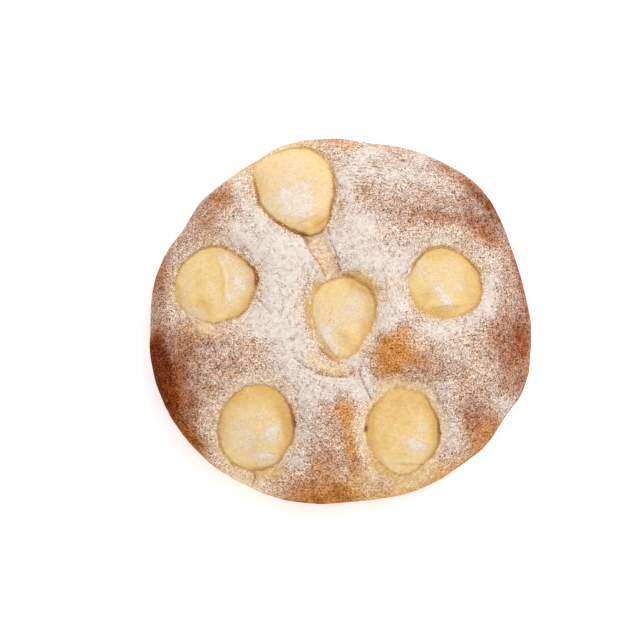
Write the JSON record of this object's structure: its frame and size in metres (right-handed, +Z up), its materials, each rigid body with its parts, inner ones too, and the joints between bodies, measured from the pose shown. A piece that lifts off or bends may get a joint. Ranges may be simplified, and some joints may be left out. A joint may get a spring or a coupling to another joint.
{
  "type": "cream cheese brioche",
  "caption": "Flat round soft-baked bun with hollows pressed into its top, each filled with a baked pool of cream cheese, under a dusting of icing sugar.",
  "frame": {"origin": "on the flat underside, below the middle of the bun's box", "axes": "+Z up out of the filled top, +Y towards the back edge, where one pool meets the rim, +X to the right"},
  "size_m": [0.1601, 0.1554, 0.0346],
  "materials": {
    "crust": "dull golden-brown baked crust, browner on the rim and paler round the hollows, dusted with icing sugar",
    "cream": "smooth satin baked cream cheese, pale yellow, lightly dusted",
    "sugar": "fine matt icing sugar, in single grains and small clumps"
  },
  "bodies": {
    "root": {"dough": "crust", "cream_back": "cream", "cream_left": "cream", "cream_right": "cream", "cream_centre": "cream", "cream_front_left": "cream", "cream_front_right": "cream"}
  },
  "joints": []
}
